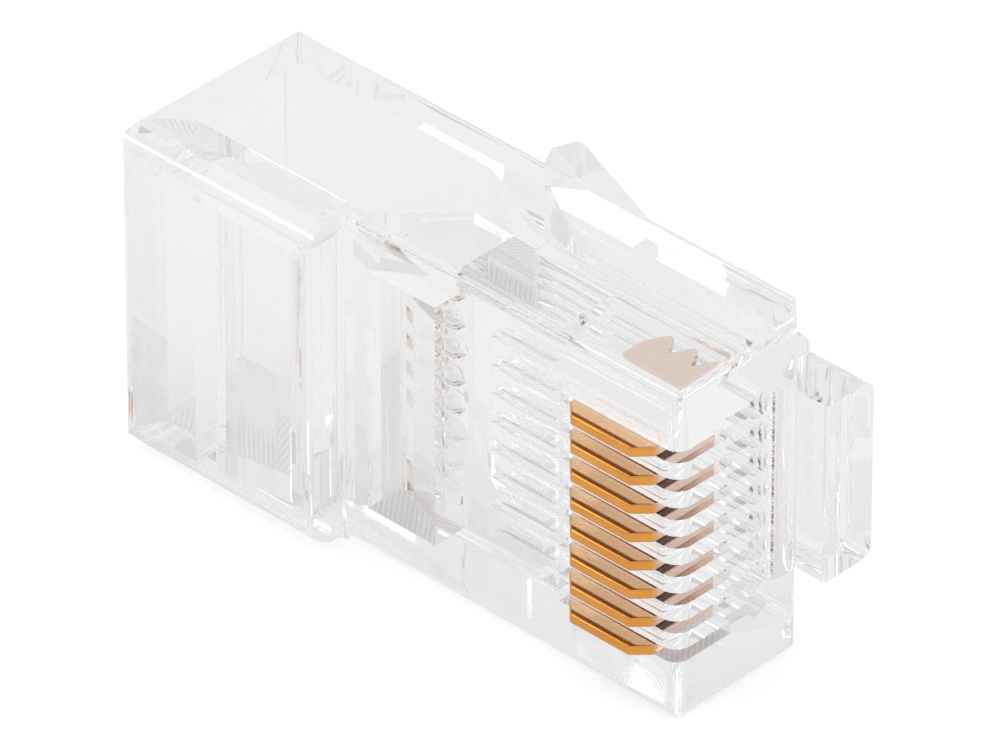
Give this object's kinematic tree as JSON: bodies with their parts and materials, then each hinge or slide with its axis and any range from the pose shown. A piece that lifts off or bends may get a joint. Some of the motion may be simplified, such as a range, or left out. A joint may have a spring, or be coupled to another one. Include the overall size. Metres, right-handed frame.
{
  "type": "modular plug",
  "caption": "Clear eight-way modular plug with spring latch, gold blade contacts in a slotted nose, fold-in clamp bars and an open cable mouth.",
  "frame": {"origin": "on the standing side wall, halfway along the plug and halfway through the thickness of its nose", "axes": "+X along the plug out of the nose, +Y from the contact side to the latch side, +Z across the width, up as it stands on one side wall"},
  "size_m": [0.0226, 0.0136, 0.0117],
  "materials": {
    "clear_plastic": "clear moulded polycarbonate, polished",
    "gold_contact": "gold plating over copper alloy"
  },
  "bodies": {
    "body": {"housing": "clear_plastic"},
    "latch": {"latch_lever": "clear_plastic"},
    "jacket_bar": {"cable_clamp": "clear_plastic"},
    "wire_bar": {"wire_clamp": "clear_plastic"},
    "blade_1": {"contact_1": "gold_contact"},
    "blade_2": {"contact_2": "gold_contact"},
    "blade_3": {"contact_3": "gold_contact"},
    "blade_4": {"contact_4": "gold_contact"},
    "blade_5": {"contact_5": "gold_contact"},
    "blade_6": {"contact_6": "gold_contact"},
    "blade_7": {"contact_7": "gold_contact"},
    "blade_8": {"contact_8": "gold_contact"}
  },
  "joints": [
    {"name": "latch_bend", "type": "hinge", "parent": "body", "child": "latch", "pos_m": [0.00855, 0.00365, 0.00584], "axis": [0, 0, 1], "range_deg": [0, 15], "stiffness_Nm_per_rad": 0.03},
    {"name": "jacket_bar_fold", "type": "hinge", "parent": "body", "child": "jacket_bar", "pos_m": [-0.0074, -0.0033, 0.00584], "axis": [0, 0, 1], "range_deg": [0, 18]},
    {"name": "wire_bar_fold", "type": "hinge", "parent": "body", "child": "wire_bar", "pos_m": [-0.00155, -0.00145, 0.00584], "axis": [0, 0, 1], "range_deg": [0, 12]},
    {"name": "crimp_1", "type": "slide", "parent": "body", "child": "blade_1", "axis": [0, 1, 0], "range_m": [0, 0.00104]},
    {"name": "crimp_2", "type": "slide", "parent": "body", "child": "blade_2", "axis": [0, 1, 0], "range_m": [0, 0.00104]},
    {"name": "crimp_3", "type": "slide", "parent": "body", "child": "blade_3", "axis": [0, 1, 0], "range_m": [0, 0.00104]},
    {"name": "crimp_4", "type": "slide", "parent": "body", "child": "blade_4", "axis": [0, 1, 0], "range_m": [0, 0.00104]},
    {"name": "crimp_5", "type": "slide", "parent": "body", "child": "blade_5", "axis": [0, 1, 0], "range_m": [0, 0.00104]},
    {"name": "crimp_6", "type": "slide", "parent": "body", "child": "blade_6", "axis": [0, 1, 0], "range_m": [0, 0.00104]},
    {"name": "crimp_7", "type": "slide", "parent": "body", "child": "blade_7", "axis": [0, 1, 0], "range_m": [0, 0.00104]},
    {"name": "crimp_8", "type": "slide", "parent": "body", "child": "blade_8", "axis": [0, 1, 0], "range_m": [0, 0.00104]}
  ]
}
